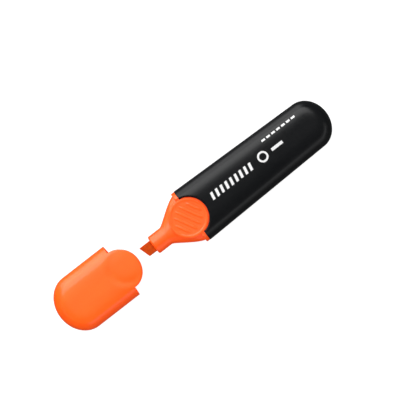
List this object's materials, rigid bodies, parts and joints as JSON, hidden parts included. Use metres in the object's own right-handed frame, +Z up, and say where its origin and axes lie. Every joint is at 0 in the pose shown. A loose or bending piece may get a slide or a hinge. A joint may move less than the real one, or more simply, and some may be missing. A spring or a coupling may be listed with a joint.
{
  "type": "highlighter",
  "caption": "Flat highlighter with a black barrel, orange nib holder and chisel nib, its orange cap pulled off and lying in line in front of the nib.",
  "frame": {"origin": "middle of the bounding box, on the resting plane under the lower flat faces", "axes": "+X along the pen from the cap towards the barrel's closed end, +Y across the pen's width, +Z up through the two flat faces"},
  "size_m": [0.1526, 0.0274, 0.0165],
  "materials": {
    "black_plastic": "satin moulded",
    "orange_plastic": "satin moulded",
    "nib_felt": "compressed felt soaked with ink",
    "ink_fibre": "fibre bundle soaked with ink",
    "clear_film": "thin film",
    "cap_plastic": "satin moulded, slightly translucent",
    "seal_plastic": "matt moulded"
  },
  "bodies": {
    "pen": {"barrel": "black_plastic", "front_section": "orange_plastic", "nib": "nib_felt", "ink_reservoir": "ink_fibre", "reservoir_film": "clear_film"},
    "cap": {"cap_shell": "cap_plastic", "cap_seal": "seal_plastic"}
  },
  "joints": [
    {"name": "cap_slide", "type": "slide", "parent": "pen", "child": "cap", "axis": [1, 0, 0], "range_m": [0, 0.0388]}
  ]
}
